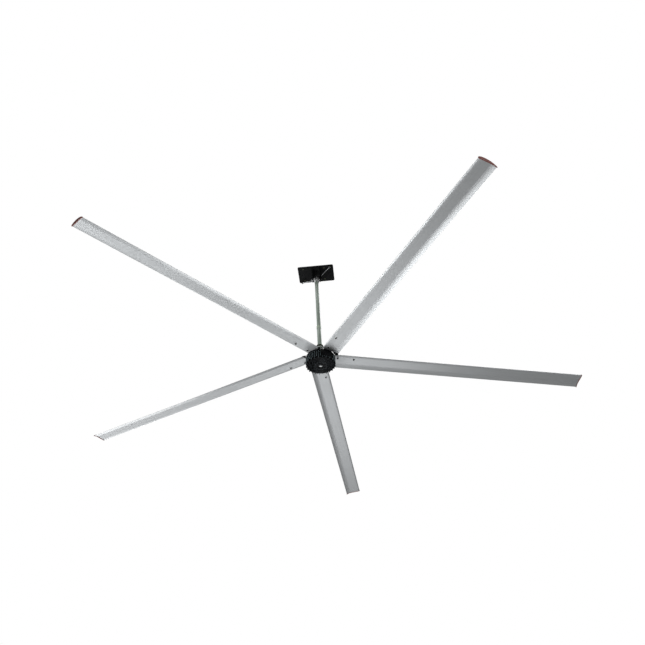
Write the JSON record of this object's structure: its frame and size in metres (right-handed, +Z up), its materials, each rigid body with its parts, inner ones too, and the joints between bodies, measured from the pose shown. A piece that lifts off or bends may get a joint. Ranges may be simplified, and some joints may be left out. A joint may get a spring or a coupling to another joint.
{
  "type": "large industrial ceiling fan",
  "caption": "Very large slow ceiling fan: hollow airfoil blades on a finned direct-drive motor, hung by a down rod that swivels on a clevis under a rectangular ceiling plate.",
  "frame": {"origin": "middle of the ceiling plate's top face", "axes": "+Z up, out of the plate's top face into the ceiling; +X along the plate's long side and the pivot bolt"},
  "size_m": [6.9969, 6.7886, 1.695],
  "materials": {
    "blade_aluminium": "mill-finish extrusion, satin",
    "cap_brown": "reddish-brown moulded plastic",
    "motor_black": "black powder-coated casting",
    "arm_black": "black painted steel bar",
    "plate_black": "black powder-coated steel",
    "rod_paint": "pale green-grey paint, satin",
    "flange_olive": "olive paint, satin",
    "bare_steel": "bare machined steel",
    "zinc_steel": "zinc-plated steel",
    "cable_steel": "galvanised wire rope",
    "cast_aluminium": "raw casting",
    "lamination_steel": "oxidised electrical steel",
    "copper_wire": "enamelled copper",
    "magnet_grey": "sintered magnet, dull",
    "black_rubber": "black rubber"
  },
  "bodies": {
    "ceiling_mount": {"ceiling_plate": "plate_black", "anchor_bolt_1": "zinc_steel", "anchor_bolt_2": "zinc_steel", "anchor_bolt_3": "zinc_steel", "anchor_bolt_4": "zinc_steel", "clevis_bracket": "plate_black", "pivot_bolt": "bare_steel", "pivot_nut": "zinc_steel", "eye_bolt_near_right": "zinc_steel", "eye_bolt_far_left": "zinc_steel", "safety_cable_near_right": "cable_steel", "safety_cable_far_left": "cable_steel"},
    "hanger": {"rod_head": "bare_steel", "upper_rod": "rod_paint", "cable_gland": "black_rubber", "joint_ring": "rod_paint", "lower_rod": "rod_paint", "rod_flange": "flange_olive", "flange_bolt_1": "zinc_steel", "flange_bolt_2": "zinc_steel", "flange_bolt_3": "zinc_steel", "flange_bolt_4": "zinc_steel", "stator_shaft": "bare_steel", "stator_carrier": "cast_aluminium", "stator_core": "lamination_steel", "stator_winding": "copper_wire", "shaft_lock_nut": "zinc_steel"},
    "rotor": {"rotor_housing": "motor_black", "rotor_yoke": "lamination_steel", "magnet_ring": "magnet_grey", "lower_bearing": "bare_steel", "upper_bearing": "bare_steel", "shaft_seal": "black_rubber", "hub_cover": "motor_black", "boss_cap": "bare_steel", "blade_arm_1": "arm_black", "blade_arm_2": "arm_black", "blade_arm_3": "arm_black", "blade_arm_4": "arm_black", "blade_arm_5": "arm_black", "blade_1": "blade_aluminium", "blade_2": "blade_aluminium", "blade_3": "blade_aluminium", "blade_4": "blade_aluminium", "blade_5": "blade_aluminium", "end_cap_1": "cap_brown", "end_cap_2": "cap_brown", "end_cap_3": "cap_brown", "end_cap_4": "cap_brown", "end_cap_5": "cap_brown", "blade_bolt_1_inner": "zinc_steel", "blade_bolt_1_outer": "zinc_steel", "blade_bolt_2_inner": "zinc_steel", "blade_bolt_2_outer": "zinc_steel", "blade_bolt_3_inner": "zinc_steel", "blade_bolt_3_outer": "zinc_steel", "blade_bolt_4_inner": "zinc_steel", "blade_bolt_4_outer": "zinc_steel", "blade_bolt_5_inner": "zinc_steel", "blade_bolt_5_outer": "zinc_steel"}
  },
  "joints": [
    {"name": "rod_swing", "type": "hinge", "parent": "ceiling_mount", "child": "hanger", "pos_m": [0, 0, -0.124], "axis": [1, 0, 0], "range_deg": [-20, 20]},
    {"name": "rotor_spin", "type": "hinge", "parent": "hanger", "child": "rotor", "pos_m": [0, 0, -1.6], "axis": [0, 0, 1], "continuous": true}
  ]
}
